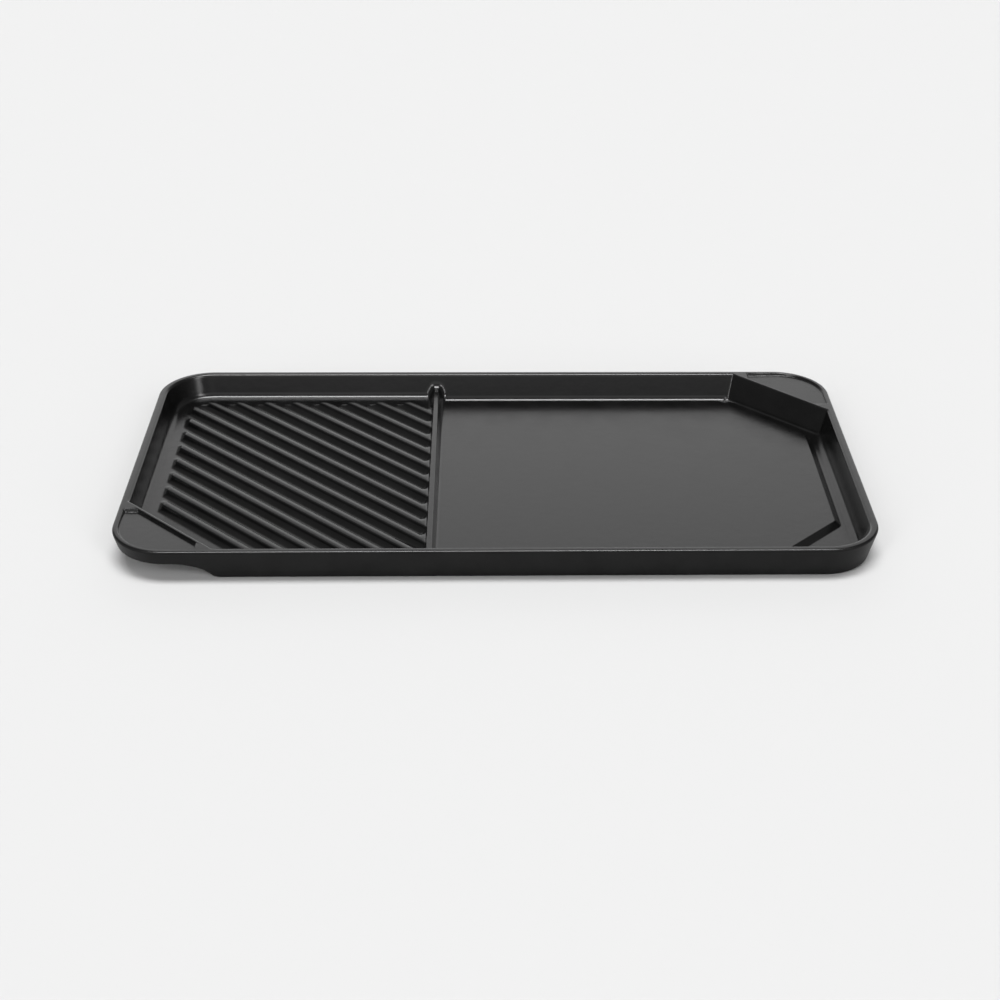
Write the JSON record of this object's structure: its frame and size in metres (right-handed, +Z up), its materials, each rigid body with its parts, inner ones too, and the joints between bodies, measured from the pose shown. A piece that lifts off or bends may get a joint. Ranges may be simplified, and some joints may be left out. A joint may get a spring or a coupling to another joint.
{
  "type": "stovetop griddle and grill pan",
  "caption": "Long shallow cast cooking pan: smooth griddle and ribbed grill either side of a low divider, with a lipped grab handle across two opposite corners.",
  "frame": {"origin": "under the middle of the pan, on the plane it rests on", "axes": "+X to the right along the length, from the grill side to the griddle side; +Y to the back; +Z up"},
  "size_m": [0.508, 0.276, 0.023],
  "materials": {
    "outer_coat": "satin black coating on cast aluminium",
    "cooking_surface": "satin black non-stick coating on cast aluminium"
  },
  "bodies": {
    "root": {"front_wall": "outer_coat", "back_wall": "outer_coat", "left_wall": "outer_coat", "right_wall": "outer_coat", "back_left_corner": "outer_coat", "front_right_corner": "outer_coat", "front_left_handle": "outer_coat", "back_right_handle": "outer_coat", "front_left_handle_wall": "outer_coat", "back_right_handle_wall": "outer_coat", "grill_plate": "cooking_surface", "griddle_plate": "cooking_surface", "divider": "cooking_surface", "grill_rib_01": "cooking_surface", "grill_rib_02": "cooking_surface", "grill_rib_03": "cooking_surface", "grill_rib_04": "cooking_surface", "grill_rib_05": "cooking_surface", "grill_rib_06": "cooking_surface", "grill_rib_07": "cooking_surface", "grill_rib_08": "cooking_surface", "grill_rib_09": "cooking_surface", "grill_rib_10": "cooking_surface", "grill_rib_11": "cooking_surface", "grill_rib_12": "cooking_surface", "grill_rib_13": "cooking_surface", "grill_rib_14": "cooking_surface", "grill_rib_15": "cooking_surface", "grill_rib_16": "cooking_surface"}
  },
  "joints": []
}
